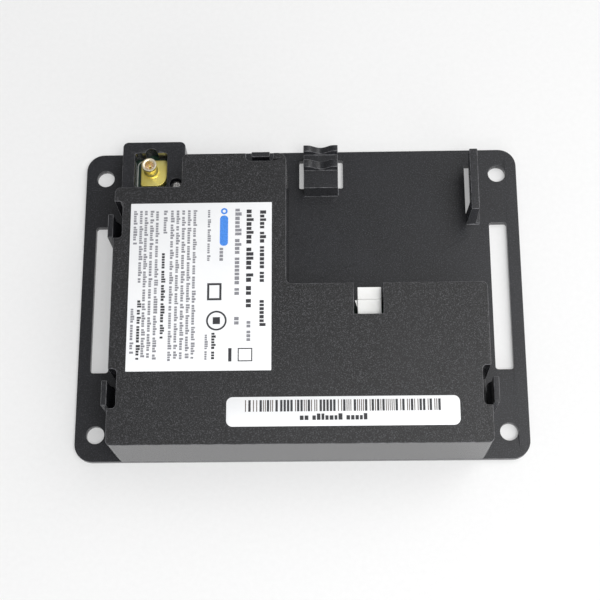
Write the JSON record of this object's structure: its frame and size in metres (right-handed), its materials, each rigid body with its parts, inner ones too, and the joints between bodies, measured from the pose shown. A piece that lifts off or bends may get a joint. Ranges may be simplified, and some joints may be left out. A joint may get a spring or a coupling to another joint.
{
  "type": "card reader controller module",
  "caption": "Flat black plastic controller module for a kiosk card reader: flanged plate, L-shaped clip-fit rear cover, coaxial jack in a pocket, white header and cable-tie bridge.",
  "frame": {"origin": "centre of the mounting plate's front face", "axes": "+X along the plate's width, +Y along its length towards the coaxial jack and the cable-tie bridge, +Z out of the rear, towards the cover's labelled face"},
  "size_m": [0.13, 0.0948, 0.0251],
  "materials": {
    "black_housing": "fine moulded texture, satin, bright worn edges",
    "label_film": "printed white film, semi-gloss",
    "circuit_board": "green solder mask, semi-gloss",
    "gold_plating": "bright gold plating",
    "insulator": "waxy fluoropolymer",
    "white_nylon": "natural nylon, satin",
    "plated_steel": "bright tin or zinc plating",
    "capacitor_can": "bright drawn can",
    "ferrite": "dull sintered ferrite",
    "card_plastic": "smooth card plastic",
    "connector_plastic": "glass-filled black plastic",
    "chip_resin": "moulded epoxy, matte"
  },
  "bodies": {
    "housing": {"beeper": "connector_plastic", "board_spacer_1": "plated_steel", "board_spacer_2": "plated_steel", "board_spacer_3": "plated_steel", "board_spacer_4": "plated_steel", "cable_tie_bridge": "black_housing", "card_socket": "connector_plastic", "card_socket_cover": "plated_steel", "coax_jack_body": "gold_plating", "coax_jack_contact": "gold_plating", "coax_jack_insulator": "insulator", "crystal_can": "plated_steel", "electrolytic_capacitor_1": "capacitor_can", "electrolytic_capacitor_2": "capacitor_can", "electrolytic_capacitor_3": "capacitor_can", "fuse": "chip_resin", "header_contact_1": "gold_plating", "header_contact_2": "gold_plating", "header_contact_3": "gold_plating", "header_contact_4": "gold_plating", "header_housing": "white_nylon", "line_transceiver": "chip_resin", "main_board": "circuit_board", "match_coil_1": "ferrite", "match_coil_2": "ferrite", "match_coil_3": "ferrite", "memory_chip": "chip_resin", "mounting_plate": "black_housing", "power_inductor": "ferrite", "processor_chip": "chip_resin", "reader_chip": "chip_resin", "rectifier_diode": "chip_resin", "retaining_hook": "black_housing", "rf_board": "circuit_board", "rf_board_screw_1": "plated_steel", "rf_board_screw_2": "plated_steel", "rf_port_shroud": "black_housing", "security_card": "card_plastic", "shield_frame": "plated_steel", "shield_lid": "plated_steel", "shroud_screw": "plated_steel", "stack_screw_1": "plated_steel", "stack_screw_2": "plated_steel", "stack_screw_3": "plated_steel", "stack_screw_4": "plated_steel", "stacking_plug": "connector_plastic", "stacking_socket": "connector_plastic"},
    "cover": {"rear_cover": "black_housing", "rating_label": "label_film", "serial_label": "label_film"},
    "latch_left_top": {"latch_arm_left_top": "black_housing"},
    "latch_left_bottom": {"latch_arm_left_bottom": "black_housing"},
    "latch_right": {"latch_arm_right": "black_housing"},
    "latch_top": {"latch_arm_top": "black_housing"}
  },
  "joints": [
    {"name": "cover_lift", "type": "slide", "parent": "housing", "child": "cover", "axis": [0, 0, 1], "range_m": [0, 0.04]},
    {"name": "latch_left_top_flex", "type": "hinge", "parent": "housing", "child": "latch_left_top", "pos_m": [-0.05405, 0.0176, 0.0023], "axis": [0, -1, 0], "range_deg": [0, 4], "stiffness_Nm_per_rad": 1.1},
    {"name": "latch_left_bottom_flex", "type": "hinge", "parent": "housing", "child": "latch_left_bottom", "pos_m": [-0.05405, -0.0316, 0.0023], "axis": [0, -1, 0], "range_deg": [0, 4], "stiffness_Nm_per_rad": 1.1},
    {"name": "latch_right_flex", "type": "hinge", "parent": "housing", "child": "latch_right", "pos_m": [0.05405, -0.0315, 0.0023], "axis": [0, 1, 0], "range_deg": [0, 4], "stiffness_Nm_per_rad": 1.1},
    {"name": "latch_top_flex", "type": "hinge", "parent": "housing", "child": "latch_top", "pos_m": [-0.0111, 0.03915, 0.0023], "axis": [-1, 0, 0], "range_deg": [0, 4], "stiffness_Nm_per_rad": 1.1}
  ]
}
